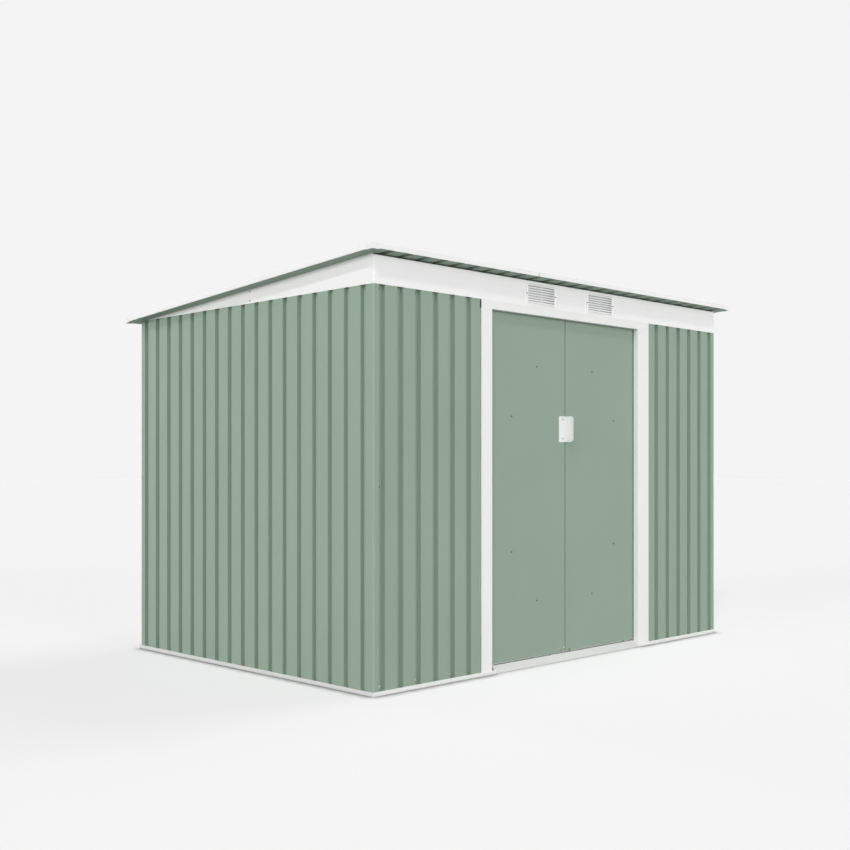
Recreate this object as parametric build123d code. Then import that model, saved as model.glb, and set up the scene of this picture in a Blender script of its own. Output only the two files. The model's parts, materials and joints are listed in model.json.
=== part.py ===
from build123d import *
import math
import os

# Metal storage shed with a single-slope roof and a pair of sliding doors.
# Millimetres, +Z up. The origin is on the ground under the middle of the walls.
# The door side faces -Y, and the roof falls towards +Y.

# Walls, measured over the outer faces of the ribs
shed_length = 2496.0
shed_depth = 1710.0
sheet_thickness = 1.0

# Profiled sheet: wide flat ribs between narrow grooves
groove_pitch = 100.0
groove_width = 33.5
groove_floor_width = 25.0
groove_depth = 18.0
front_first_groove = 47.2
side_first_groove = 60.5
corner_radius = 5.0
lap_width = 14.0
side_seam_groove = 5
side_seam_rib = 1100.0
back_sheet_grooves = (6, 6, 6)

# Heights
rail_lip_bottom = 5.0
rail_ledge = 9.0
rail_lip_top = 18.0
rail_upstand_top = 43.0
roof_seat = 1744.0
roof_fall = 126.0
fascia_gap = 6.5
fascia_height = 114.0
header_height = 36.5
sheet_cover = 28.0
brace_height = 825.0

# Folded frame members
frame_thickness = 1.2
rail_web_proud = 2.0
rail_lip_proud = 5.0
rail_slit = 1.3
rail_foot_depth = 28.0
brace_flange = 30.0
brace_leg = 15.0
front_brace_leg = 4.0
top_rail_drop = 95.0
top_rail_shelf = 60.0
back_rail_drop = 60.0
back_rail_shelf = 35.0
side_rail_shelf = 16.0
side_rail_drop = 60.0
beam_height = 40.0
beam_width = 30.0

# Doorway and its trim
door_offset = -9.0
doorway_width = 1087.0
left_post_width = 68.5
right_post_width = 94.0
jamb_depth = 24.0
trim_sheet = 1.0
post_back_flange = 18.0
post_tuck = 20.0
header_lip = 12.0
post_slot = 8.5

# Sloped sill in front of the doors
sill_top = 32.0
sill_top_depth = 25.0
sill_toe_height = 3.0
sill_toe_depth = -2.0
sill_left_gap = 25.5
sill_right_gap = 0.5
sill_thickness = 1.2
sill_back_leg = 22.0

# Sliding doors
door_recess = 29.0
door_thickness = 20.0
door_bottom = 38.0
door_top_lap = 15.0
door_side_lap = 28.0
door_gap = 5.0
door_lip = 12.0
door_brace_width = 26.0
door_brace_thickness = 1.5
door_brace_in = 206.5
door_brace_out = 381.0
door_brace_far = 532.0
door_brace_near = 302.0
door_brace_inset = 24.0

# Door handles
handle_width = 44.0
handle_height = 120.0
handle_reach = 48.0
handle_thickness = 2.5
handle_chamfer = 11.0
handle_centre = 1076.0
handle_groove_width = 9.0
handle_groove_depth = 0.8
handle_rim = 15.0

# Door running gear
seat_gap = 0.3
hanger_inset = 70.0
hanger_width = 36.0
hanger_rise = 44.0
hanger_foot = 10.0
axle_radius = 3.0
bore_clearance = 0.05
track_set_back = 7.0
track_lip_rise = 26.0
roller_radius = 11.0
roller_width = 11.0
roller_groove = 3.0
roller_groove_gap = 0.4
roller_groove_flare = 1.0
track_lip = 12.0
track_shelf = 15.0
track_flange = 8.0
guide_length = 34.0
guide_thickness = 12.0
guide_drop = 14.0
guide_slot_gap = 0.5
guide_clearance = 2.0
lower_track_height = 31.0
track_end_gap = 60.0

# Fascia and louvred vents
fascia_proud = 1.0
fascia_corner_gap = 4.5
fascia_tip = 1.2
side_fascia_end_gap = 60.0
vent_width = 210.0
vent_height = 98.0
vent_rise = 8.5
vent_spacing = 440.0
vent_plate = 3.0
vent_frame_side = 12.0
vent_frame_top = 5.0
vent_rows = 8
vent_mullion = 3.0
vent_blade_thickness = 1.4
vent_blade_rise = 7.25
vent_blade_depth = 3.5
vent_cutout_margin = 6.0

# Roof
overhang = 57.5
roof_trim_bottom = 1.6
roof_trim_top = 21.8
roof_trim_width = 22.0
roof_trim_thickness = 1.2
roof_trim_joint = 1004.0
trim_joint_gap = 3.0
cap_size = 35.0
cap_proud = 0.5
cap_drop = 3.5
cap_skirt = 1.5
roof_sheet_grooves = (6, 7, 6, 6)

# Values worked out from the sizes above
half_length = shed_length / 2
half_depth = shed_depth / 2
slope = math.atan2(roof_fall, shed_depth)
sheet_back = groove_depth + sheet_thickness
member_face = sheet_back + frame_thickness
fascia_top = roof_seat - fascia_gap
fascia_bottom = fascia_top - fascia_height
vent_bottom = fascia_bottom + vent_rise
doorway_top = fascia_bottom - header_height
sheet_top = fascia_bottom + sheet_cover
doorway_left = half_length + door_offset - doorway_width / 2
doorway_right = doorway_left + doorway_width
doorway_centre = half_length + door_offset
left_sheet_end = doorway_left - left_post_width
right_sheet_start = doorway_right + right_post_width
door_top = doorway_top + door_top_lap
door_back = door_recess + door_thickness
groove_edge = (groove_width - groove_floor_width) / 2
ridge_top = groove_depth + sheet_thickness
fascia_return = fascia_corner_gap + trim_sheet

front_side = Plane(origin=(-half_length, -half_depth, 0), x_dir=(1, 0, 0), z_dir=(0, 0, 1))
right_side = Plane(origin=(half_length, -half_depth, 0), x_dir=(0, 1, 0), z_dir=(0, 0, 1))
back_side = Plane(origin=(half_length, half_depth, 0), x_dir=(-1, 0, 0), z_dir=(0, 0, 1))
left_side = Plane(origin=(-half_length, half_depth, 0), x_dir=(0, -1, 0), z_dir=(0, 0, 1))

# The roof's own frame: x along the front, y down the slope, z square to the roof,
# with its origin under the low flats of the roof sheet at the front wall
roof = Plane(
    origin=(-half_length, -half_depth, roof_seat),
    x_dir=(1, 0, 0),
    z_dir=(0, math.sin(slope), math.cos(slope)),
)


def save(node, *solids):
    """Write the solids of one node to its file."""
    shape = solids[0] if len(solids) == 1 else Compound(children=list(solids))
    shape.label = node
    export_step(shape, f"parts/{node}.step")


def block(low, high):
    """A box between two corners."""
    size = [b - a for a, b in zip(low, high)]
    return Pos(*low) * Box(*size, align=(Align.MIN, Align.MIN, Align.MIN))


def roof_height(depth_in, rise=0.0):
    """Height of a plane parallel to the roof, rise above the low flats, at a wall depth."""
    return roof_seat + rise / math.cos(slope) - depth_in * math.tan(slope)


def grooves_between(start, end, first):
    """Centres of the grooves that lie whole between two places along a wall."""
    count = int((end - first) // groove_pitch) + 2
    centres = [first + groove_pitch * i for i in range(count)]
    low = start + groove_width / 2 - seat_gap / 2
    high = end - groove_width / 2
    return [centre for centre in centres if low < centre < high]


def groove_points(centre):
    """Outer face of one groove, as points of place along the wall and depth into it."""
    return [
        (centre - groove_width / 2, 0),
        (centre - groove_floor_width / 2, groove_depth),
        (centre + groove_floor_width / 2, groove_depth),
        (centre + groove_width / 2, 0),
    ]


def folded_outline(points, thickness, rounded=()):
    """Face of a sheet folded along a line of points, with its thickness to the left of the line.

    The folds that lie at the rounded points get the corner radius, and a negative thickness lies
    to the right of the line.
    """
    normals = []
    for (x, y), (next_x, next_y) in zip(points, points[1:]):
        run = math.hypot(next_x - x, next_y - y)
        normals.append(((y - next_y) / run, (next_x - x) / run))
    inner = []
    for (x, y), before, after in zip(points, normals[:1] + normals, normals + normals[-1:]):
        share = thickness / (1 + before[0] * after[0] + before[1] * after[1])
        inner.append((x + share * (before[0] + after[0]), y + share * (before[1] + after[1])))
    face = Face(Wire(Polyline(*points, *reversed(inner), close=True).edges()))
    for place in rounded:
        opposite = inner[points.index(place)]
        for corner, radius in ((place, corner_radius), (opposite, corner_radius - thickness)):
            vertex = face.vertices().sort_by_distance(corner)[0]
            face = face.fillet_2d(radius, [vertex])
    return face


def folded(points, thickness, length, rounded=()):
    """Sheet folded along a line of points and drawn up by length."""
    return extrude(folded_outline(points, thickness, rounded), length, dir=(0, 0, 1))


def lap_tongue(place, along_groove):
    """Start of a sheet that tucks behind its neighbour's edge, one thickness further in.

    Where the seam runs along a groove, the tongue leads straight into the groove's side.
    """
    step = sheet_thickness
    if along_groove:
        return [(place - lap_width, step), (place + groove_edge * step / groove_depth, step)]
    return [(place - lap_width, step), (place + seat_gap, step), (place + seat_gap + step, 0)]


def wall_sheet(start, end, first, bottom, top, tongue=False, left_corner=0, right_corner=0,
               right_tail=0):
    """Profiled sheet from start to end.

    A corner gives the depth of a rounded return there, and a tail the place where the sheet
    ends after it has stepped down to the groove's depth.
    """
    centres = grooves_between(start, end, first)
    outlines = [groove_points(centre) for centre in centres]
    points = [(start, 0)]
    if tongue:
        along_groove = outlines[0][0][0] - start < seat_gap
        points = lap_tongue(start, along_groove)
        if along_groove:
            outlines[0] = outlines[0][1:]
    if left_corner:
        points = [(start, left_corner), (start, 0)]
    for outline in outlines:
        points += outline
    points.append((end, 0))
    if right_corner:
        points.append((end, right_corner))
    if right_tail:
        points += [(end + groove_edge, groove_depth), (right_tail, groove_depth)]
    rounded = [(place, 0) for place, wanted in ((start, left_corner), (end, right_corner)) if wanted]
    sheet = folded(points, sheet_thickness, top - bottom, rounded)
    return Pos(0, 0, bottom) * sheet


def along(points, thickness, start, end):
    """Folded member with its section in the depth and height plane, running along the wall."""
    section = Plane(origin=(start, 0, 0), x_dir=(0, 1, 0), z_dir=(1, 0, 0))
    return section * folded(points, thickness, end - start)


def mitred(shape, run, reach):
    """Cut the two ends of a member at 45 degrees so that members meet round the corners."""
    plan = Polygon(
        (-reach, -reach), (run + reach, -reach), (run - reach, reach), (reach, reach), align=None
    )
    prism = Pos(0, 0, -reach) * extrude(plan, roof_seat)
    return shape & prism


# Base rail: a ledge under the sheet, a hollow lip in front of it, a low web and a foot on the ground
rail_section = [
    (member_face, rail_ledge),
    (-rail_slit, rail_ledge),
    (-rail_slit, rail_lip_top),
    (-rail_lip_proud, rail_lip_top),
    (-rail_lip_proud, rail_lip_bottom),
    (-rail_web_proud, rail_lip_bottom),
    (-rail_web_proud, 0),
    (rail_foot_depth, 0),
]


def base_rail(start, end, upstands=None):
    """Base rail between two places along a wall, with its upstand over the given stretches."""
    rail = along(rail_section, frame_thickness, start, end)
    for low, high in upstands or [(start, end)]:
        rail += block((low, sheet_back, rail_ledge), (high, member_face, rail_upstand_top))
    return rail


def make_base():
    """Base rails round the four walls. The front one stops at each side of the doorway."""
    reach = rail_foot_depth * 2
    for node, side, run in (
        ("base_rail_right", right_side, shed_depth),
        ("base_rail_back", back_side, shed_length),
        ("base_rail_left", left_side, shed_depth),
    ):
        rail = base_rail(-rail_lip_proud, run + rail_lip_proud)
        save(node, side * mitred(rail, run, reach))
    start = -rail_lip_proud
    end = shed_length + rail_lip_proud
    beside_door = [(start, left_sheet_end + post_tuck), (right_sheet_start - post_tuck, end)]
    whole = mitred(base_rail(start, end, beside_door), shed_length, reach)
    cut_left = doorway_left + sill_left_gap - seat_gap
    cut_right = doorway_right - sill_right_gap + seat_gap
    low = (-reach, -reach, 0)
    high = (shed_length + reach, reach, rail_upstand_top)
    left = whole & block(low, (cut_left, high[1], high[2]))
    right = whole & block((cut_right, low[1], low[2]), high)
    save("base_rail_front", front_side * left, front_side * right)


def make_sill():
    """Sloped door sill, with a foot on the ground and a lip that stands in front of the doors."""
    start = doorway_left + sill_left_gap
    end = doorway_right - sill_right_gap
    points = [
        (rail_foot_depth, 0),
        (sill_toe_depth, 0),
        (sill_toe_depth, sill_toe_height),
        (sill_top_depth, sill_top),
        (sill_top_depth, sill_top - sill_back_leg),
    ]
    save("door_sill", front_side * along(list(reversed(points)), sill_thickness, start, end))


def make_walls():
    """Profiled sheets of the four walls, lapped where one sheet meets the next."""
    low = rail_ledge
    back_top = roof_height(shed_depth) - seat_gap
    left = wall_sheet(0, left_sheet_end - post_slot, front_first_groove, low, sheet_top,
                      left_corner=sheet_back, right_tail=left_sheet_end + post_tuck)
    right = wall_sheet(right_sheet_start - post_tuck, shed_length, front_first_groove, low, sheet_top,
                       right_corner=sheet_back)

    # The sheets' rounded corners stop where the ends of the fascia turn in
    notch = fascia_return + seat_gap
    left -= block((0, 0, fascia_bottom), (notch, notch, sheet_top))
    right -= block((shed_length - notch, 0, fascia_bottom), (shed_length, notch, sheet_top))
    save("front_wall_left", front_side * left)
    save("front_wall_right", front_side * right)

    # The right wall runs from the front corner to the back one, and the left wall mirrors it
    seam = side_first_groove + groove_pitch * side_seam_groove - groove_width / 2
    places = (sheet_back, seam, side_seam_rib, shed_depth - sheet_back)
    cover = roof * block(
        (-half_length, -half_depth, -seat_gap),
        (shed_length + half_length, shed_depth * 2, shed_depth),
    )
    for i, part in enumerate("abc"):
        sheet = wall_sheet(places[i], places[i + 1], side_first_groove, low, sheet_top, tongue=i > 0)
        placed = right_side * sheet - cover
        save(f"right_wall_{part}", placed)
        save(f"left_wall_{part}", mirror(placed, Plane.YZ))

    places = [0]
    grooves = 0
    for count in back_sheet_grooves:
        grooves += count
        rib_middle = front_first_groove + groove_pitch * grooves - groove_pitch / 2
        places.append(rib_middle + sheet_thickness)
    places.append(shed_length)
    last = len(back_sheet_grooves)
    for i, part in enumerate("abcd"):
        sheet = wall_sheet(places[i], places[i + 1], front_first_groove, low, back_top,
                           tongue=i > 0,
                           left_corner=sheet_back if i == 0 else 0,
                           right_corner=sheet_back if i == last else 0)
        save(f"back_wall_{part}", back_side * sheet)


def make_frame():
    """Folded members behind the sheets: mid-height braces, top rails and the roof beam."""
    def brace(start, end, leg):
        points = [
            (sheet_back, brace_height - brace_flange / 2),
            (sheet_back, brace_height + brace_flange / 2),
            (sheet_back + leg, brace_height + brace_flange / 2),
        ]
        return along(list(reversed(points)), frame_thickness, start, end)

    corner = sheet_back + seat_gap
    side_start = sheet_back + brace_leg + seat_gap
    save(
        "wall_braces",
        front_side * brace(corner, left_sheet_end, front_brace_leg),
        front_side * brace(right_sheet_start, shed_length - corner, front_brace_leg),
        back_side * brace(corner, shed_length - corner, brace_leg),
        left_side * brace(side_start, shed_depth - side_start, brace_leg),
        right_side * brace(side_start, shed_depth - side_start, brace_leg),
    )

    # Front top rail, with a shelf that follows the slope of the roof and carries it
    def under_roof(depth_in):
        return roof_height(depth_in) - seat_gap

    front_points = [
        (sheet_back, under_roof(sheet_back) - top_rail_drop),
        (sheet_back, under_roof(sheet_back)),
        (top_rail_shelf, under_roof(top_rail_shelf)),
    ]
    front_rail = along(list(reversed(front_points)), frame_thickness, corner, shed_length - corner)
    save("front_top_rail", front_side * front_rail)

    shelf_in = shed_depth - back_rail_shelf
    back_points = [
        (sheet_back, under_roof(shed_depth - sheet_back) - back_rail_drop),
        (sheet_back, under_roof(shed_depth - sheet_back)),
        (back_rail_shelf, under_roof(shelf_in)),
    ]
    back_rail = along(list(reversed(back_points)), frame_thickness, corner, shed_length - corner)
    save("back_top_rail", back_side * back_rail)

    # Side rails follow the slope, drawn in the roof's own frame
    rail_start = (top_rail_shelf + seat_gap) / math.cos(slope) + side_rail_drop * math.sin(slope)
    rail_end = (shed_depth - back_rail_shelf - seat_gap) / math.cos(slope)
    rail_top = -seat_gap
    side_rails = []
    for inward, wall in ((1, 0), (-1, shed_length)):
        face = wall + inward * sheet_back
        web = block(
            (min(face, face + inward * frame_thickness), rail_start, rail_top - side_rail_drop),
            (max(face, face + inward * frame_thickness), rail_end, rail_top),
        )
        shelf_face = face + inward * side_rail_shelf
        shelf = block(
            (min(face, shelf_face), rail_start, rail_top - frame_thickness),
            (max(face, shelf_face), rail_end, rail_top),
        )
        side_rails.append(roof * (web + shelf))
    save("side_top_rails", *side_rails)

    # Roof beam: a channel under the side rails' shelves, from web to web
    middle = shed_depth / 2 / math.cos(slope)
    beam_top = rail_top - frame_thickness - seat_gap
    outer = block(
        (member_face, middle - beam_width / 2, beam_top - beam_height),
        (shed_length - member_face, middle + beam_width / 2, beam_top),
    )
    hollow = block(
        (0, middle - beam_width / 2 + frame_thickness, beam_top - beam_height),
        (shed_length, middle + beam_width, beam_top - frame_thickness),
    )
    lower_flange = block(
        (member_face, middle - beam_width / 2, beam_top - beam_height),
        (shed_length - member_face, middle + beam_width / 2, beam_top - beam_height + frame_thickness),
    )
    save("roof_beam", roof * (outer - hollow + lower_flange))


def make_fascia():
    """White fascia: a level band at the front and a tapering one at each side."""
    points = [
        (sheet_back - seat_gap, fascia_top),
        (-fascia_proud, fascia_top),
        (-fascia_proud, fascia_bottom),
    ]
    start = fascia_corner_gap
    front = along(points, trim_sheet, start, shed_length - start)
    for place in (start, shed_length - start - trim_sheet):
        front += block(
            (place, -fascia_proud, fascia_bottom), (place + trim_sheet, fascia_return, fascia_top)
        )
    for centre in vent_centres():
        margin = vent_cutout_margin
        front -= block(
            (centre - vent_width / 2 + margin, -fascia_proud, vent_bottom + margin),
            (centre + vent_width / 2 - margin, 0, vent_bottom + vent_height - margin),
        )
    save("front_fascia", front_side * front)

    # Side fascia: cut to the slope of the roof, and almost zero high at its back end
    tip_in = shed_depth - side_fascia_end_gap
    tip_top = roof_height(tip_in, -seat_gap)
    outline = Polyline(
        (start, fascia_bottom),
        (fascia_return, fascia_bottom),
        (tip_in, tip_top - fascia_tip),
        (tip_in, tip_top),
        (start, roof_height(start, -seat_gap)),
        close=True,
    )
    upright = Plane(origin=(-fascia_proud, 0, 0), x_dir=(0, 1, 0), z_dir=(1, 0, 0))
    side = upright * extrude(Face(Wire(outline.edges())), trim_sheet)
    side += block(
        (-fascia_proud, start, fascia_bottom),
        (start - seat_gap, fascia_return, roof_height(fascia_return, -seat_gap)),
    )
    placed = front_side * side
    save("left_fascia", placed)
    save("right_fascia", mirror(placed, Plane.YZ))


def vent_centres():
    """Places of the two vents along the front."""
    return (half_length - vent_spacing / 2, half_length + vent_spacing / 2)


def make_vents():
    """Louvred vent plates with sloped blades, screwed over openings in the front fascia."""
    width = vent_width - 2 * vent_frame_side
    height = vent_height - 2 * vent_frame_top
    pitch = height / vent_rows
    vents = []
    for centre in vent_centres():
        back = -fascia_proud
        front = back - vent_plate
        plate = block(
            (centre - vent_width / 2, front, vent_bottom),
            (centre + vent_width / 2, back, vent_bottom + vent_height),
        )
        plate -= block(
            (centre - width / 2, front, vent_bottom + vent_frame_top),
            (centre + width / 2, back, vent_bottom + vent_frame_top + height),
        )
        plate += block(
            (centre - vent_mullion / 2, back - vent_plate / 2, vent_bottom + vent_frame_top),
            (centre + vent_mullion / 2, back, vent_bottom + vent_frame_top + height),
        )
        for row in range(vent_rows):
            low = vent_bottom + vent_frame_top + pitch * row + (pitch - vent_blade_rise) / 2
            blade = Polygon(
                (front, low),
                (front + vent_blade_thickness, low),
                (front + vent_blade_depth, low + vent_blade_rise),
                (front + vent_blade_depth - vent_blade_thickness, low + vent_blade_rise),
                align=None,
            )
            section = Plane(origin=(centre - width / 2, 0, 0), x_dir=(0, 1, 0), z_dir=(1, 0, 0))
            plate += section * extrude(blade, width)
        vents.append(front_side * plate)
    save("fascia_vents", *vents)


def make_door_trim():
    """White posts and header round the doorway, each with a return that runs back to the doors."""
    face = -trim_sheet
    low = rail_ledge
    left_points = [
        (left_sheet_end, groove_depth - seat_gap),
        (left_sheet_end, face),
        (doorway_left, face),
        (doorway_left, jamb_depth),
        (doorway_left - post_back_flange, jamb_depth),
    ]
    left = folded(left_points, trim_sheet, doorway_top - low)
    save("left_door_post", front_side * (Pos(0, 0, low) * left))
    right_points = [
        (doorway_right + post_back_flange, jamb_depth),
        (doorway_right, jamb_depth),
        (doorway_right, face),
        (right_sheet_start, face),
    ]
    right = folded(right_points, trim_sheet, doorway_top - low)
    save("right_door_post", front_side * (Pos(0, 0, low) * right))
    header = block(
        (left_sheet_end, face, doorway_top), (right_sheet_start, 0, fascia_bottom)
    )
    soffit_points = [
        (face, doorway_top),
        (jamb_depth, doorway_top),
        (jamb_depth, doorway_top + header_lip),
    ]
    header += along(
        soffit_points, trim_sheet, doorway_left - trim_sheet, doorway_right + trim_sheet
    )
    save("door_header", front_side * header)


def left_door_leaf():
    """Left door: a pan of sheet with returned edges and a narrow lip all round its back."""
    outer = doorway_left - door_side_lap
    inner = doorway_centre - door_gap / 2
    pan = block((outer, door_recess, door_bottom), (inner, door_back, door_top))
    wall = sheet_thickness
    pan -= block(
        (outer + wall, door_recess + wall, door_bottom + wall),
        (inner - wall, door_back - wall, door_top - wall),
    )
    lip = door_lip
    pan -= block(
        (outer + lip, door_back - wall, door_bottom + lip), (inner - lip, door_back, door_top - lip)
    )
    return pan


def left_door_braces():
    """Two flat braces behind the door's face, from its middle to its two leading corners."""
    middle = (door_bottom + door_top) / 2
    seam = doorway_centre
    run = door_brace_out - door_brace_in
    fall = door_brace_far - door_brace_near
    angle = math.atan2(fall, run)
    reach = (doorway_width / 2 + door_side_lap - door_brace_out - door_brace_inset) / math.cos(angle)
    back = (door_brace_in - door_brace_inset) / math.cos(angle)
    length = math.hypot(run, fall) + reach + back
    face = door_recess + sheet_thickness
    braces = []
    for way in (1, -1):
        strip = Box(length, door_brace_thickness, door_brace_width)
        centre = (back - reach) / 2
        x = seam - (door_brace_in + door_brace_out) / 2
        z = middle + way * (door_brace_far + door_brace_near) / 2
        turn = -way * math.degrees(angle)
        placed = Pos(x, face + door_brace_thickness / 2, z) * Rot(0, turn, 0) * Pos(centre, 0, 0)
        braces.append(placed * strip)
    return braces


def left_handle():
    """Angle handle: a plate on the door and a fin that stands out at the door's leading edge."""
    right = doorway_centre - door_gap / 2
    low = handle_centre - handle_height / 2
    plate = block(
        (right - handle_width, door_recess - handle_thickness, low),
        (right, door_recess, low + handle_height),
    )
    tip = door_recess - handle_reach
    outline = Polygon(
        (door_recess, low),
        (door_recess, low + handle_height),
        (tip + handle_chamfer, low + handle_height),
        (tip, low + handle_height - handle_chamfer),
        (tip, low + handle_chamfer),
        (tip + handle_chamfer, low),
        align=None,
    )
    section = Plane(origin=(right - handle_thickness, 0, 0), x_dir=(0, 1, 0), z_dir=(1, 0, 0))
    fin = section * extrude(outline, handle_thickness)
    fin -= block(
        (right - handle_thickness, tip + handle_rim, low + handle_chamfer),
        (right - handle_thickness + handle_groove_depth, tip + handle_rim + handle_groove_width,
         low + handle_height - handle_chamfer),
    )
    return plate + fin


def hanger_places():
    """Places of the left door's two hangers along the front."""
    return (
        doorway_left - door_side_lap + hanger_inset,
        doorway_centre - door_gap / 2 - hanger_inset,
    )


track_middle = door_recess + door_thickness / 2 + track_set_back
track_lip_top = door_top + track_lip_rise
roller_centre = track_lip_top + roller_radius - roller_groove + seat_gap


def left_hangers():
    """Hanger plates that rise from the door's top edge."""
    hangers = []
    for place in hanger_places():
        face = track_middle - roller_width / 2 - frame_thickness - seat_gap
        plate = block(
            (place - hanger_width / 2, face, door_top),
            (place + hanger_width / 2, face + frame_thickness, door_top + hanger_rise),
        )
        foot = block(
            (place - hanger_width / 2, face - hanger_foot, door_top),
            (place + hanger_width / 2, face, door_top + frame_thickness),
        )
        axle = Pos(place, face + frame_thickness, roller_centre) * Rot(-90, 0, 0) * Cylinder(
            axle_radius, roller_width + 2 * seat_gap, align=(Align.CENTER, Align.CENTER, Align.MIN)
        )
        hangers.append(plate + foot + axle)
    return hangers


def left_rollers():
    """Grooved nylon rollers that run on the upper track's lip."""
    half = roller_width / 2
    rim = roller_radius
    root = roller_radius - roller_groove
    bore = axle_radius + bore_clearance
    waist = frame_thickness / 2 + roller_groove_gap
    flare = waist + roller_groove_flare
    outline = Polyline(
        (bore, -half), (rim, -half), (rim, -flare), (root, -waist), (root, waist),
        (rim, flare), (rim, half), (bore, half), close=True,
    )
    wheel = revolve(Face(Wire(outline.edges())), Axis.Y)
    return [Pos(place, track_middle, roller_centre) * wheel for place in hanger_places()]


def left_guides():
    """Nylon guide shoes under the door, slotted over the rib of the lower track."""
    slot = frame_thickness / 2 + guide_slot_gap
    shoes = []
    for place in hanger_places():
        shoe = block(
            (place - guide_length / 2, track_middle - guide_thickness / 2, door_bottom - guide_drop),
            (place + guide_length / 2, door_back, door_bottom),
        )
        shoe -= block(
            (place - guide_length / 2, track_middle - slot, 0),
            (place + guide_length / 2, track_middle + slot, lower_track_height + guide_clearance),
        )
        shoes.append(shoe)
    return shoes


def make_doors():
    """Both doors with their handles and running gear. The right one mirrors the left one."""
    mirror_plane = Plane(origin=(doorway_centre, 0, 0), x_dir=(0, 1, 0), z_dir=(1, 0, 0))
    pieces = {
        "door": [left_door_leaf()],
        "door_handle": [left_handle()],
        "door_fittings": left_door_braces() + left_hangers(),
        "door_runners": left_rollers() + left_guides(),
    }
    for name, solids in pieces.items():
        save(f"left_{name}", *[front_side * solid for solid in solids])
        save(f"right_{name}", *[front_side * mirror(solid, mirror_plane) for solid in solids])


def make_tracks():
    """Upper track that carries the rollers, and lower track that the guide shoes straddle."""
    start = track_end_gap
    end = shed_length - track_end_gap
    half = frame_thickness / 2
    lip_low = track_lip_top - track_lip
    web_face = track_middle + track_shelf
    web_top = roof_height(web_face) - frame_thickness - 2 * seat_gap
    points = [
        (track_middle - half, track_lip_top),
        (track_middle - half, lip_low),
        (web_face, lip_low),
        (web_face, web_top),
        (web_face - track_flange, web_top),
    ]
    upper = along(points, frame_thickness, start, end)
    rib_face = track_middle + half
    lower_points = [
        (rail_foot_depth + seat_gap, 0),
        (rib_face, 0),
        (rib_face, lower_track_height),
    ]
    lower = along(lower_points, frame_thickness, start, end)
    save("door_tracks", front_side * upper, front_side * lower)


def make_roof():
    """Roof sheets, edge trims and corner caps, drawn in the roof's own frame."""
    cap_top = roof_trim_top + cap_proud
    skirt_bottom = roof_trim_bottom - cap_drop
    front_edge = -(overhang + skirt_bottom * math.sin(slope)) / math.cos(slope)
    back_edge = (shed_depth + overhang - cap_top * math.sin(slope)) / math.cos(slope)
    left_edge = -overhang
    right_edge = shed_length + overhang
    inset = cap_proud + roof_trim_thickness + seat_gap

    # Sheets: wide flats low and narrow ridges high, drawn as a wall sheet that faces down
    sheet_run = (front_edge + inset, back_edge - inset)
    seams = [left_edge + inset]
    groove_count = 0
    for grooves in roof_sheet_grooves[:-1]:
        groove_count += grooves
        seams.append(front_first_groove + groove_pitch * groove_count - groove_pitch / 2)
    seams.append(right_edge - inset)
    face = Plane(origin=(0, sheet_run[1], 0), x_dir=(1, 0, 0), z_dir=(0, -1, 0))
    for i, part in enumerate("abcd"):
        sheet = wall_sheet(seams[i], seams[i + 1], front_first_groove, 0,
                           sheet_run[1] - sheet_run[0], tongue=i > 0)
        save(f"roof_sheet_{part}", roof * (face * sheet))

    # Edge trim: a web outside the sheet's edge, a top and a leg that stands on the sheet
    top = roof_trim_top

    def trim_section(edge, inward, foot):
        points = [
            (edge, roof_trim_bottom),
            (edge, top),
            (edge + inward * roof_trim_width, top),
            (edge + inward * roof_trim_width, foot),
        ]
        return folded_outline(points, -inward * roof_trim_thickness)

    across = {"front": (front_edge + cap_proud, 1), "back": (back_edge - cap_proud, -1)}
    joint = left_edge + roof_trim_joint
    runs = {
        "front": ((left_edge + cap_size, joint), (joint + trim_joint_gap, right_edge - cap_size)),
        "back": ((left_edge + cap_size, right_edge - cap_size),),
    }
    for name, (edge, inward) in across.items():
        trims = []
        for start, end in runs[name]:
            section = Plane(origin=(start, 0, 0), x_dir=(0, 1, 0), z_dir=(1, 0, 0))
            trim = extrude(trim_section(edge, inward, ridge_top), end - start, dir=(0, 0, 1))
            trims.append(roof * (section * trim))
        save(f"roof_trim_{name}", *trims)
    trims = []
    for edge, inward in ((left_edge + cap_proud, 1), (right_edge - cap_proud, -1)):
        start = front_edge + cap_size
        end = back_edge - cap_size
        section = Plane(origin=(0, end, 0), x_dir=(1, 0, 0), z_dir=(0, -1, 0))
        trim = extrude(trim_section(edge, inward, sheet_thickness), end - start, dir=(0, 0, 1))
        trims.append(roof * (section * trim))
    save("roof_trim_sides", *trims)

    # Corner caps: moulded blocks that stand on the sheet, with skirts outside its two edges
    corners = (
        (left_edge, front_edge, 1, 1),
        (right_edge, front_edge, -1, 1),
        (left_edge, back_edge, 1, -1),
        (right_edge, back_edge, -1, -1),
    )
    caps = []
    for x, y, to_x, to_y in corners:
        far_x = x + to_x * cap_size
        far_y = y + to_y * cap_size
        body = block(
            (min(x, far_x), min(y, far_y), sheet_thickness),
            (max(x, far_x), max(y, far_y), cap_top),
        )
        skirt_x = x + to_x * cap_skirt
        skirt_y = y + to_y * cap_skirt
        body += block(
            (min(x, skirt_x), min(y, far_y), skirt_bottom),
            (max(x, skirt_x), max(y, far_y), cap_top),
        )
        body += block(
            (min(x, far_x), min(y, skirt_y), skirt_bottom),
            (max(x, far_x), max(y, skirt_y), cap_top),
        )
        caps.append(roof * body)
    save("roof_corner_caps", *caps)


os.makedirs("parts", exist_ok=True)
make_base()
make_sill()
make_walls()
make_frame()
make_fascia()
make_vents()
make_door_trim()
make_doors()
make_tracks()
make_roof()
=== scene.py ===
import json
import math
import random

import bpy
from mathutils import Matrix, Vector


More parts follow.
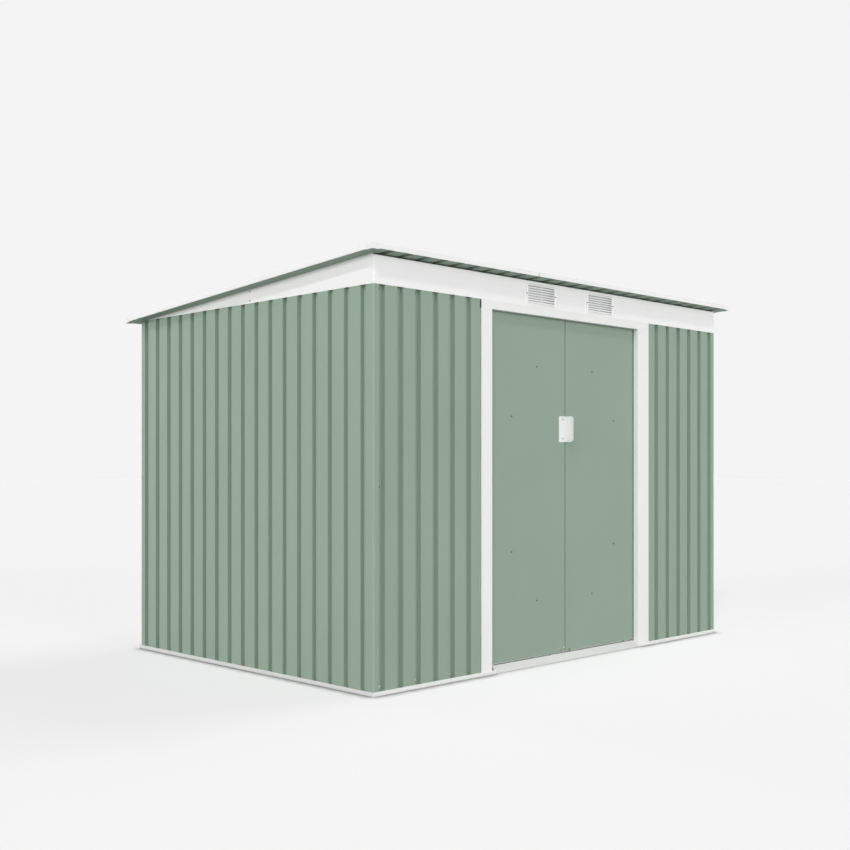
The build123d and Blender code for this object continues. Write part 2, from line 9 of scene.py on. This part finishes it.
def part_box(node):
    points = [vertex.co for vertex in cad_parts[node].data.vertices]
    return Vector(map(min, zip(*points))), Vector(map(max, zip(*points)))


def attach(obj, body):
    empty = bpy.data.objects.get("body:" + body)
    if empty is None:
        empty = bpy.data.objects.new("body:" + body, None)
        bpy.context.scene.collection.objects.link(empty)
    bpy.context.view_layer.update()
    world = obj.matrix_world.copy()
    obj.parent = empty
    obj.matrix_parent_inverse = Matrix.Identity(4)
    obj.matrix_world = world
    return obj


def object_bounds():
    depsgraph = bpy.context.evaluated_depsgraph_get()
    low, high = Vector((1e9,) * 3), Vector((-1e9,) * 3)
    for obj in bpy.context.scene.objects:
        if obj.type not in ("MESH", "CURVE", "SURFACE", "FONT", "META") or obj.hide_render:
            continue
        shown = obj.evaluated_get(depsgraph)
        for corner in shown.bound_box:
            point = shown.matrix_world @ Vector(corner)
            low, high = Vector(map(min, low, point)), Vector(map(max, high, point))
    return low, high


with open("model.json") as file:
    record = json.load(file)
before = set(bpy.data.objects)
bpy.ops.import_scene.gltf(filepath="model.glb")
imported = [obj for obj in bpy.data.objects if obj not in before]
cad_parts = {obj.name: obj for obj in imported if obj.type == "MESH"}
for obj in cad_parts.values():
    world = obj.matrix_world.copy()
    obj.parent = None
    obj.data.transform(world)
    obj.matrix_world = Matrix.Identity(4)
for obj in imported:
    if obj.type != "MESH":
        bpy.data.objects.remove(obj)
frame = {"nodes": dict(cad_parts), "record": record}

cad_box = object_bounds()
random.seed(11)

# Places read from the frame, in metres
WALL_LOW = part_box("front_wall_left")[0]
FRONT_Y = WALL_LOW.y
BACK_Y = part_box("back_wall_a")[1].y
LEFT_X = WALL_LOW.x
RIGHT_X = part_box("front_wall_right")[1].x
LENGTH = RIGHT_X - LEFT_X
DEPTH = BACK_Y - FRONT_Y
DOOR_LOW, DOOR_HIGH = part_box("left_door")
SEAM_X = (DOOR_HIGH.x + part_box("right_door")[0].x) / 2

# Sheet profile: centres of the first grooves from the left and from the front corner
GROOVE_PITCH = 0.100
GROOVE_DEPTH = 0.018
SHEET = 0.001
FRAME_SHEET = 0.0012
FRONT_FIRST = 0.0472
SIDE_FIRST = 0.0605

# Wall screws: in every second groove at the rails, and in a few at the braces
RAIL_STEP = 2
BACK_MIDDLE_STEP = 6
FRONT_MIDDLE = (0, 24)
SIDE_MIDDLE = (5, 11)
RAIL_SCREW_Z = 0.033
RAIL_ZONE = 0.1
MID_SCREW_Z = 0.824
TOP_SCREW_Z = 1.609
BACK_SCREW_DROP = 0.030
SIDE_TOP_END = 1.2

# Door fixings, each as its distance from the seam and its height
DOOR_BOLTS = ((0.2065, 1.3575), (0.381, 1.1265), (0.381, 0.522), (0.2065, 0.291), (0.030, 0.043))
DOOR_RIVET = (0.007, 0.056)
HANDLE_SCREWS = ((0.020, 1.1220), (0.020, 1.0327))
HANDLE_PLATE = 0.0025

# Trim screws: places from the left corner, from the front corner and from the middle
HEADER_SCREWS = (0.6458, 0.6857, 1.8156, 1.8556)
HEADER_SCREW_Z = 1.6025
SIDE_FASCIA_SCREW = 0.807
SIDE_FASCIA_SCREW_Z = (1.674, 1.633)
VENT_CENTRES = (-0.220, 0.220)
VENT_SCREW_REACH = 0.0995
VENT_SCREW_Z = 1.680

# Heads and nuts, as radius and height
WALL_HEAD = (0.0038, 0.0022)
BOLT_HEAD = (0.0042, 0.0022)
TRIM_HEAD = (0.0036, 0.0018)
HANDLE_HEAD = (0.0035, 0.0018)
VENT_HEAD = (0.0030, 0.0016)
NUT = (0.0040, 0.0028)

# Camera at the photograph's viewing angle
CAMERA_PLACE = (-4.327, -4.243, 0.915)
CAMERA_YAW = math.radians(44.80)
IMAGE_SIZE = 850
FOCAL_PIXELS = 1166.7
HORIZON_ROW = 463.75
SENSOR = 36.0
CLIP_END = 200.0

# Studio: the floor is seen at the background's own grey where no shadow falls
BACKGROUND = 0.905
FLOOR_REACH = 60.0
FLOOR_DROP = 0.0005
FLOOR_TONE = 0.50
SHADOW_SHARE = 0.75
# Painted contact shade on the floor: its glow darkens with ambient occlusion within this reach,
# down to nothing at the occlusion level on the next line
CONTACT_REACH = 0.060
PAINTED_CONTACT_SHADE_LEVEL = 0.60
WORLD_LIGHT = 0.15

# Lamps: azimuth from +X towards +Y, elevation, strength, softness in degrees
LAMPS = (
    ("left_light", 210.5, 41.5, 0.86, 3),
    ("right_light", 356, 50, 0.95, 28),
    ("front_low", 270, 8, 1.58, 30),
    ("left_low", 180, 8, 1.84, 30),
    ("corner_low", 225, 8, 0.38, 30),
    ("front_right", 315, 20, 0.20, 40),
    ("back_low", 90, 3, 1.90, 6),
    ("right_low", 0, 3, 1.50, 6),
)


def floor_light():
    """Light on the open floor, as the radiance of a white matt surface."""
    lamps = sum(strength * math.sin(math.radians(high)) for _, _, high, strength, _ in LAMPS)
    return lamps / math.pi + WORLD_LIGHT


FLOOR_GLOW = (BACKGROUND - SHADOW_SHARE * FLOOR_TONE * floor_light()) / (1 - SHADOW_SHARE)


# Materials

# Radius by which edges are rounded in shading
EDGE_RADIUS = 0.0012

# Sockets of the Mix node when it mixes colours
MIX_FACTOR, MIX_FIRST, MIX_SECOND, MIX_RESULT = 0, 6, 7, 2


class Nodes:
    """Short way to add and join the nodes of one material."""

    def __init__(self, name):
        self.material = bpy.data.materials.new(name)
        self.material.use_nodes = True
        self.tree = self.material.node_tree
        self.shader = self.tree.nodes["Principled BSDF"]
        self.output = self.tree.nodes["Material Output"]

    def add(self, kind, **values):
        """A node with its properties and input values set."""
        node = self.tree.nodes.new(kind)
        for key, value in values.items():
            if hasattr(node, key) and key not in node.inputs:
                setattr(node, key, value)
            else:
                self.set(node, key, value)
        return node

    def set(self, node, key, value):
        """Set an input of a node; a socket as the value makes a link."""
        socket = node.inputs[key]
        if isinstance(value, bpy.types.NodeSocket):
            self.tree.links.new(value, socket)
        else:
            socket.default_value = value

    def noise(self, scale, detail=2.0, stretch=(1, 1, 1)):
        """Noise in the object's own metres; scale is in waves a metre."""
        place = self.add("ShaderNodeTexCoord").outputs["Object"]
        mapped = self.add("ShaderNodeMapping", Vector=place, Scale=stretch).outputs["Vector"]
        node = self.add("ShaderNodeTexNoise", Vector=mapped, Scale=scale, Detail=detail)
        return node.outputs["Fac"]

    def between(self, factor, low, high, from_low=0.3, from_high=0.7):
        """A number that runs from low to high as the factor runs over its own range."""
        node = self.add("ShaderNodeMapRange", Value=factor)
        self.set(node, "From Min", from_low)
        self.set(node, "From Max", from_high)
        self.set(node, "To Min", low)
        self.set(node, "To Max", high)
        return node.outputs["Result"]

    def mix(self, factor, first, second):
        """Colour between two colours, each given as a socket or as three numbers."""
        node = self.add("ShaderNodeMix", data_type="RGBA")
        self.set(node, MIX_FACTOR, factor)
        for key, value in ((MIX_FIRST, first), (MIX_SECOND, second)):
            is_socket = isinstance(value, bpy.types.NodeSocket)
            self.set(node, key, value if is_socket else (*value, 1.0))
        return node.outputs[MIX_RESULT]

    def relief(self, height, strength, distance, rounded=True):
        """Fine bump on the surface, with the edges rounded or left sharp."""
        bump = self.add("ShaderNodeBump", Height=height, Strength=strength, Distance=distance)
        if rounded:
            bevel = self.add("ShaderNodeBevel", samples=4, Radius=EDGE_RADIUS)
            self.set(bump, "Normal", bevel.outputs["Normal"])
        self.set(self.shader, "Normal", bump.outputs["Normal"])


def shade(colour, factor):
    """The colour made lighter or darker by a factor."""
    return tuple(min(1.0, c * factor) for c in colour)


def coated_steel(name, colour, roughness, specular, vary=0.02):
    """Coil-coated sheet: even colour with faint patches, orange peel and a satin finish."""
    n = Nodes(name)
    patches = n.noise(2.3, detail=3.0)
    streaks = n.noise(9.0, stretch=(1, 1, 0.12))
    tone = n.mix(n.between(patches, 0.0, 1.0), shade(colour, 1 - vary), shade(colour, 1 + vary))
    tone = n.mix(n.between(streaks, 0.0, 0.35), tone, shade(colour, 1 + vary * 0.8))
    n.set(n.shader, "Base Color", tone)
    wear = n.noise(14.0, detail=4.0)
    n.set(n.shader, "Roughness", n.between(wear, roughness - 0.05, roughness + 0.05))
    n.relief(n.noise(420.0, detail=1.0), strength=0.35, distance=0.00003)
    n.set(n.shader, "Specular IOR Level", specular)
    return n.material


def moulded_plastic(name, colour, roughness):
    """Injection-moulded plastic with rounded edges and faint flow marks."""
    n = Nodes(name)
    flow = n.noise(30.0, detail=3.0, stretch=(1, 1, 0.3))
    n.set(n.shader, "Base Color", n.mix(n.between(flow, 0.0, 1.0), shade(colour, 0.975), colour))
    n.set(n.shader, "Roughness", n.between(n.noise(90.0), roughness - 0.04, roughness + 0.06))
    n.relief(n.noise(900.0, detail=1.0), strength=0.25, distance=0.00003)
    return n.material


def galvanised_steel(name, colour):
    """Hot-dipped zinc with its spangle, dull and slightly streaked."""
    n = Nodes(name)
    place = n.add("ShaderNodeTexCoord").outputs["Object"]
    cells = n.add("ShaderNodeTexVoronoi", Vector=place, Scale=95.0)
    spangle = n.add("ShaderNodeSeparateColor", Color=cells.outputs["Color"]).outputs["Red"]
    cloud = n.noise(6.0, detail=4.0)
    tone = n.mix(n.between(spangle, 0.0, 1.0, 0.0, 1.0), shade(colour, 0.86), shade(colour, 1.1))
    tone = n.mix(n.between(cloud, 0.0, 0.4), tone, shade(colour, 0.8))
    n.set(n.shader, "Base Color", tone)
    n.set(n.shader, "Roughness", n.between(spangle, 0.38, 0.58, 0.0, 1.0))
    n.set(n.shader, "Metallic", 0.85)
    n.relief(n.noise(300.0), strength=0.2, distance=0.00005, rounded=False)
    return n.material


def zinc_plate(name, colour, roughness):
    """Zinc-plated fixings, with a faint turned grain."""
    n = Nodes(name)
    grain = n.noise(1500.0)
    n.set(n.shader, "Base Color", n.mix(n.between(grain, 0.0, 1.0), shade(colour, 0.85), colour))
    n.set(n.shader, "Roughness", n.between(n.noise(400.0), roughness - 0.08, roughness + 0.12))
    n.set(n.shader, "Metallic", 0.9)
    return n.material


SAGE = (0.284, 0.370, 0.297)
WHITE = (0.83, 0.83, 0.825)

LOOKS = {
    "green_sheet": coated_steel("sage_coated_sheet", SAGE, 0.55, 0.12),
    "roof_green": coated_steel("sage_roof_sheet", SAGE, 0.55, 0.12),
    "white_trim": coated_steel("white_coated_trim", WHITE, 0.45, 0.25, vary=0.01),
    "white_plastic": moulded_plastic("white_moulded_plastic", (0.81, 0.81, 0.81), 0.36),
    "frame_steel": galvanised_steel("galvanised_frame", (0.56, 0.57, 0.58)),
    "nylon": moulded_plastic("natural_nylon", (0.72, 0.72, 0.68), 0.5),
}

# The same zinc in two tones, dark on the sheets and doors and bright at the rails, header and
# rivet: the dark copy is painted shade, standing in for the shadow the heads sit in under the roof
# and in the grooves
FIXING = zinc_plate("zinc_fixings", (0.16, 0.165, 0.165), 0.45)
BRIGHT_FIXING = zinc_plate("bright_zinc_fixings", (0.86, 0.86, 0.86), 0.45)

# White pieces painted a little lighter or darker than the others of their slot: the front fascia
# and the vents lighter, painted light that makes up for the shade they get under the overhang, and
# the sill and the left side rail darker, painted shade for the light they miss
NODE_LOOKS = {
    "front_fascia": coated_steel("white_fascia_painted_light", shade(WHITE, 1.07), 0.45, 0.25, vary=0.01),
    "door_sill": coated_steel("white_sill_painted_shade", shade(WHITE, 0.80), 0.55, 0.2, vary=0.01),
    "base_rail_left": coated_steel("white_side_rail_painted_shade", shade(WHITE, 0.82), 0.50, 0.25, vary=0.01),
    "fascia_vents": moulded_plastic("white_vent_plastic_painted_light", (0.95, 0.95, 0.945), 0.36),
}

slot_of = {entry["node"]: entry["material_slot"] for entry in frame["record"]["subparts"]}
for node, obj in frame["nodes"].items():
    obj.data.materials.clear()
    obj.data.materials.append(NODE_LOOKS.get(node) or LOOKS[slot_of[node]])


# Small fixings

HEAD_SIDES = 16
NUT_SIDES = 6
END_SIDES = 12

# Reach of the cross recess at its arms, between them and in its corners
CROSS_REACH = (1.0, 0.72, 0.45, 0.72)


def ring(radius, height, count):
    """Points of a level circle."""
    return [
        (radius * math.cos(2 * math.pi * k / count),
         radius * math.sin(2 * math.pi * k / count), height)
        for k in range(count)
    ]


def cross_ring(radius, height, count):
    """Points of a cross recess inside a circle."""
    points = []
    for k in range(count):
        reach = radius * CROSS_REACH[k % 4]
        angle = 2 * math.pi * k / count
        points.append((reach * math.cos(angle), reach * math.sin(angle), height))
    return points


def stack(rings):
    """Closed surface through rings of as many points, capped at both ends."""
    count = len(rings[0])
    points = [point for level in rings for point in level]
    faces = []
    for level in range(len(rings) - 1):
        a = level * count
        for k in range(count):
            after = (k + 1) % count
            faces.append((a + k, a + after, a + count + after, a + count + k))
    faces.append(tuple(reversed(range(count))))
    top = (len(rings) - 1) * count
    faces.append(tuple(range(top, top + count)))
    return points, faces


def joined(shapes):
    """One list of points and faces from several."""
    points, faces = [], []
    for shape_points, shape_faces in shapes:
        shift = len(points)
        points += shape_points
        faces += [tuple(index + shift for index in face) for face in shape_faces]
    return points, faces


def screw_head(radius, height):
    """Domed head with a cross recess."""
    return stack([
        ring(radius, 0.0, HEAD_SIDES),
        ring(radius, height * 0.45, HEAD_SIDES),
        ring(radius * 0.90, height * 0.78, HEAD_SIDES),
        ring(radius * 0.68, height * 0.96, HEAD_SIDES),
        cross_ring(radius * 0.52, height, HEAD_SIDES),
        cross_ring(radius * 0.36, height * 0.45, HEAD_SIDES),
    ])


def hex_nut(radius, height):
    """Hexagon nut with the screw's end standing out of it."""
    nut = stack([
        ring(radius, 0.0, NUT_SIDES),
        ring(radius, height * 0.85, NUT_SIDES),
        ring(radius * 0.88, height, NUT_SIDES),
    ])
    end = stack([
        ring(radius * 0.5, height * 0.5, END_SIDES),
        ring(radius * 0.5, height * 1.7, END_SIDES),
        ring(radius * 0.38, height * 1.9, END_SIDES),
    ])
    return joined([nut, end])


def aimed(shape, place, outward, turn):
    """The shape moved to a place, with its own +Z turned to point outward."""
    points, faces = shape
    facing = outward.to_track_quat("Z", "Y").to_matrix().to_4x4()
    matrix = Matrix.Translation(place) @ facing @ Matrix.Rotation(turn, 4, "Z")
    return [tuple(matrix @ Vector(point)) for point in points], faces


def piece(name, shape, body, material):
    """A mesh object that rides on a body, with the material it is given."""
    points, faces = shape
    mesh = bpy.data.meshes.new(name)
    mesh.from_pydata(points, [], faces)
    mesh.update()
    obj = bpy.data.objects.new(name, mesh)
    bpy.context.scene.collection.objects.link(obj)
    obj.data.materials.append(material)
    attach(obj, body)


def fixings(name, places, body, shape, material=FIXING):
    """Many like fixings as one piece, each turned by its own angle."""
    shapes = [aimed(shape, place, outward, random.uniform(0, math.pi)) for place, outward in places]
    piece(name, joined(shapes), body, material)


def at_front(x, y, z):
    """Place and direction of a fixing that faces the front."""
    return Vector((x, y, z)), Vector((0, -1, 0))


def groove(first, k):
    """Centre of a groove, measured from the corner."""
    return first + GROOVE_PITCH * k


def grooves(first, start, end, step):
    """Every so many groove centres between two places along a wall."""
    places = []
    k = 0
    while groove(first, k) < end:
        if groove(first, k) > start and k % step == 0:
            places.append(groove(first, k))
        k += 1
    return places


def wall_point(wall, along, depth, z):
    """Point on a wall, its place measured from the corner, and the wall's outward direction."""
    if wall == "front":
        return Vector((LEFT_X + along, FRONT_Y + depth, z)), Vector((0, -1, 0))
    if wall == "back":
        return Vector((LEFT_X + along, BACK_Y - depth, z)), Vector((0, 1, 0))
    if wall == "left":
        return Vector((LEFT_X + depth, FRONT_Y + along, z)), Vector((-1, 0, 0))
    return Vector((RIGHT_X - depth, FRONT_Y + along, z)), Vector((1, 0, 0))


def wall_fixings():
    """Screws through the sheets into the rails and braces, and their nuts inside."""
    post_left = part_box("left_door_post")[0].x - LEFT_X
    post_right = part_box("right_door_post")[1].x - LEFT_X
    front = grooves(FRONT_FIRST, 0, post_left, RAIL_STEP)
    front += grooves(FRONT_FIRST, post_right, LENGTH, RAIL_STEP)
    front_middle = [groove(FRONT_FIRST, k) for k in FRONT_MIDDLE]
    back = grooves(FRONT_FIRST, 0, LENGTH, RAIL_STEP)
    back_middle = grooves(FRONT_FIRST, 0, LENGTH, BACK_MIDDLE_STEP)
    back_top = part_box("back_wall_a")[1].z - BACK_SCREW_DROP
    side = grooves(SIDE_FIRST, 0, DEPTH, RAIL_STEP)
    side_middle = [groove(SIDE_FIRST, k) for k in SIDE_MIDDLE]
    # The top screws of the ends stop where the roof comes down to them
    walls = (
        ("front", front, front_middle, TOP_SCREW_Z, LENGTH),
        ("back", back, back_middle, back_top, LENGTH),
        ("left", side, side_middle, TOP_SCREW_Z, SIDE_TOP_END),
        ("right", side, side_middle, TOP_SCREW_Z, SIDE_TOP_END),
    )
    head = screw_head(*WALL_HEAD)
    for wall, run, middle, top, top_end in walls:
        places = []
        for along in run:
            places.append((along, RAIL_SCREW_Z))
            if along < top_end:
                places.append((along, top))
        places += [(along, MID_SCREW_Z) for along in middle]
        outer = [wall_point(wall, along, GROOVE_DEPTH, z) for along, z in places]
        inner = [(point - outward * (SHEET + FRAME_SHEET), -outward) for point, outward in outer]
        at_rail = [fixing for fixing in outer if fixing[0].z < RAIL_ZONE]
        above = [fixing for fixing in outer if fixing[0].z > RAIL_ZONE]
        fixings(f"{wall}_rail_screws", at_rail, "shed", head, BRIGHT_FIXING)
        fixings(f"{wall}_wall_screws", above, "shed", head)
        fixings(f"{wall}_wall_nuts", inner, "shed", hex_nut(*NUT))


def door_fixings():
    """Bolts of the braces and shoes, screws of the handles and the left door's rivet."""
    face = DOOR_LOW.y
    for side, way in (("left", -1), ("right", 1)):
        body = f"{side}_door"
        bolts = [at_front(SEAM_X + way * out, face, z) for out, z in DOOR_BOLTS]
        fixings(f"{side}_door_bolts", bolts, body, screw_head(*BOLT_HEAD))
        if side == "left":
            out, z = DOOR_RIVET
            rivet = [at_front(SEAM_X + way * out, face, z)]
            fixings("left_door_rivet", rivet, body, screw_head(*TRIM_HEAD), BRIGHT_FIXING)
        screws = [at_front(SEAM_X + way * out, face - HANDLE_PLATE, z) for out, z in HANDLE_SCREWS]
        fixings(f"{side}_handle_screws", screws, body, screw_head(*HANDLE_HEAD))


def trim_fixings():
    """Screws in the header, the side fascias and the vents."""
    header_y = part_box("door_header")[0].y
    header = [at_front(LEFT_X + along, header_y, HEADER_SCREW_Z) for along in HEADER_SCREWS]
    fixings("header_screws", header, "shed", screw_head(*TRIM_HEAD), BRIGHT_FIXING)
    side_y = FRONT_Y + SIDE_FASCIA_SCREW
    ends = ((-1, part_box("left_fascia")[0].x), (1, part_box("right_fascia")[1].x))
    side = [(Vector((x, side_y, z)), Vector((way, 0, 0)))
            for way, x in ends for z in SIDE_FASCIA_SCREW_Z]
    fixings("side_fascia_screws", side, "shed", screw_head(*TRIM_HEAD))
    vent_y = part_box("fascia_vents")[0].y
    vents = [at_front(centre + way * VENT_SCREW_REACH, vent_y, VENT_SCREW_Z)
             for centre in VENT_CENTRES for way in (-1, 1)]
    fixings("vent_screws", vents, "shed", screw_head(*VENT_HEAD))


wall_fixings()
door_fixings()
trim_fixings()


# Floor, light and camera

def seen_rays(tree):
    """1 for the rays that see the background: from the camera, in gloss and through glass."""
    path = tree.nodes.new("ShaderNodeLightPath")
    total = path.outputs["Is Camera Ray"]
    for ray in ("Is Glossy Ray", "Is Transmission Ray"):
        larger = tree.nodes.new("ShaderNodeMath")
        larger.operation = "MAXIMUM"
        tree.links.new(total, larger.inputs[0])
        tree.links.new(path.outputs[ray], larger.inputs[1])
        total = larger.outputs[0]
    return total


def make_floor():
    """Pale studio floor that keeps a light shadow of the object, and a dark line where it stands
    that is painted shade: its glow is darkened by ambient occlusion near the object.
    """
    far = FLOOR_REACH
    corners = [(-far, -far, 0), (far, -far, 0), (far, far, 0), (-far, far, 0)]
    mesh = bpy.data.meshes.new("studio_floor")
    mesh.from_pydata(corners, [], [(0, 1, 2, 3)])
    floor = bpy.data.objects.new("studio_floor", mesh)
    bpy.context.scene.collection.objects.link(floor)
    floor.location.z = cad_box[0][2] - FLOOR_DROP
    n = Nodes("studio_floor")
    n.set(n.shader, "Base Color", (FLOOR_TONE, FLOOR_TONE, FLOOR_TONE, 1))
    n.set(n.shader, "Roughness", 0.9)
    n.set(n.shader, "Specular IOR Level", 0.0)
    # Painted shade: the glow fades to a dark line where ambient occlusion finds the object near
    contact = n.add("ShaderNodeAmbientOcclusion", samples=16, Distance=CONTACT_REACH)
    strength = n.between(contact.outputs["AO"], 0.0, FLOOR_GLOW, PAINTED_CONTACT_SHADE_LEVEL, 1.0)
    glow = n.add("ShaderNodeEmission", Color=(1, 1, 1, 1), Strength=strength)
    share = n.add("ShaderNodeMath", operation="MULTIPLY")
    n.set(share, 0, seen_rays(n.tree))
    n.set(share, 1, 1 - SHADOW_SHARE)
    blend = n.add("ShaderNodeMixShader")
    for key, source in enumerate((share, n.shader, glow)):
        n.set(blend, key, source.outputs[0])
    n.set(n.output, "Surface", blend.outputs[0])
    mesh.materials.append(n.material)


def make_world():
    """Even surroundings, seen at the background's own grey."""
    world = bpy.data.worlds.new("studio")
    bpy.context.scene.world = world
    world.use_nodes = True
    tree = world.node_tree
    tree.nodes.clear()
    out = tree.nodes.new("ShaderNodeOutputWorld")
    light = tree.nodes.new("ShaderNodeBackground")
    light.inputs["Color"].default_value = (1, 1, 1, 1)
    light.inputs["Strength"].default_value = WORLD_LIGHT
    seen = tree.nodes.new("ShaderNodeBackground")
    seen.inputs["Color"].default_value = (BACKGROUND, BACKGROUND, BACKGROUND, 1)
    pick = tree.nodes.new("ShaderNodeMixShader")
    tree.links.new(seen_rays(tree), pick.inputs[0])
    tree.links.new(light.outputs[0], pick.inputs[1])
    tree.links.new(seen.outputs[0], pick.inputs[2])
    tree.links.new(pick.outputs[0], out.inputs["Surface"])


def sun(name, azimuth, elevation, strength, softness):
    """Soft distant lamp; azimuth and elevation say where it stands, in degrees."""
    data = bpy.data.lights.new(name, "SUN")
    data.energy = strength
    data.angle = math.radians(softness)
    lamp = bpy.data.objects.new(name, data)
    bpy.context.scene.collection.objects.link(lamp)
    a, e = math.radians(azimuth), math.radians(elevation)
    towards = Vector((math.cos(a) * math.cos(e), math.sin(a) * math.cos(e), math.sin(e)))
    lamp.rotation_euler = towards.to_track_quat("Z", "Y").to_euler()


def make_camera():
    """Level camera at the photograph's place, with the horizon at its row."""
    data = bpy.data.cameras.new("camera")
    data.sensor_width = SENSOR
    data.lens = FOCAL_PIXELS / IMAGE_SIZE * SENSOR
    data.shift_y = (HORIZON_ROW - IMAGE_SIZE / 2) / IMAGE_SIZE
    data.clip_end = CLIP_END
    camera = bpy.data.objects.new("camera", data)
    camera.location = CAMERA_PLACE
    camera.rotation_euler = (math.pi / 2, 0, -CAMERA_YAW)
    bpy.context.scene.collection.objects.link(camera)
    bpy.context.scene.camera = camera


make_floor()
make_world()
for lamp in LAMPS:
    sun(*lamp)
make_camera()
bpy.context.scene.view_settings.view_transform = "Standard"
